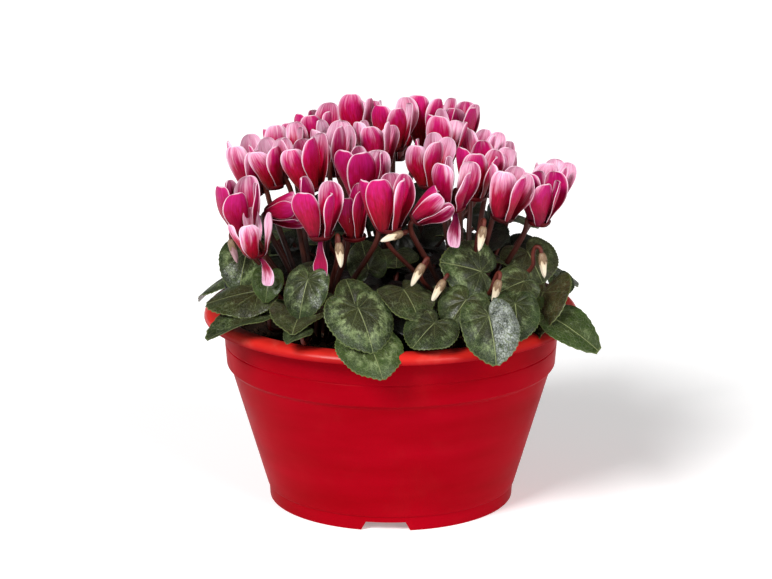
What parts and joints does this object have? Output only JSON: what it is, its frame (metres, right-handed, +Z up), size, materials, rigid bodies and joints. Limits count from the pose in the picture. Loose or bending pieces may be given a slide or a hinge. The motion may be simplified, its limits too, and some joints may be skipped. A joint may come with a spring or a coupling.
{
  "type": "potted plant",
  "caption": "Potted cyclamen with swept-back crimson blooms on bare stalks above marbled heart-shaped leaves, in a round tapered plastic bowl with a broad rolled lip.",
  "frame": {"origin": "centre of the bounding box's underside, on the surface the pot stands on and on the pot's axis", "axes": "+Z up along the pot's axis, -Y towards the front, +X to the right as seen from the front"},
  "size_m": [0.2879, 0.2962, 0.2871],
  "materials": {
    "red_plastic": "satin moulded plastic, deep red",
    "potting_soil": "moist dark peat, matte",
    "stalk": "brown-red plant skin, satin",
    "petal": "soft velvety petal, crimson to magenta with pale edges",
    "leaf": "waxy leaf, dark green with silver-green marbling"
  },
  "bodies": {
    "root": {"pot": "red_plastic", "soil": "potting_soil", "crown_01": "stalk", "crown_02": "stalk", "crown_03": "stalk", "bloom_01": "petal", "bloom_02": "petal", "bloom_03": "petal", "bloom_04": "petal", "bloom_05": "petal", "bloom_06": "petal", "bloom_07": "petal", "bloom_08": "petal", "bloom_09": "petal", "bloom_10": "petal", "bloom_11": "petal", "bloom_12": "petal", "bloom_13": "petal", "bloom_14": "petal", "bloom_15": "petal", "bloom_16": "petal", "bloom_17": "petal", "bloom_18": "petal", "bloom_19": "petal", "bloom_20": "petal", "bloom_21": "petal", "bloom_22": "petal", "bloom_23": "petal", "bloom_24": "petal", "bloom_25": "petal", "bloom_26": "petal", "bloom_27": "petal", "bloom_28": "petal", "bloom_29": "petal", "bloom_30": "petal", "bloom_31": "petal", "leaf_01": "leaf", "leaf_02": "leaf", "leaf_03": "leaf", "leaf_04": "leaf", "leaf_05": "leaf", "leaf_06": "leaf", "leaf_07": "leaf", "leaf_08": "leaf", "leaf_09": "leaf", "leaf_10": "leaf", "leaf_11": "leaf", "leaf_12": "leaf", "leaf_13": "leaf", "leaf_14": "leaf", "leaf_15": "leaf", "leaf_16": "leaf", "leaf_17": "leaf", "leaf_18": "leaf", "leaf_19": "leaf", "leaf_20": "leaf", "leaf_21": "leaf", "leaf_22": "leaf", "leaf_23": "leaf", "leaf_24": "leaf"}
  },
  "joints": []
}
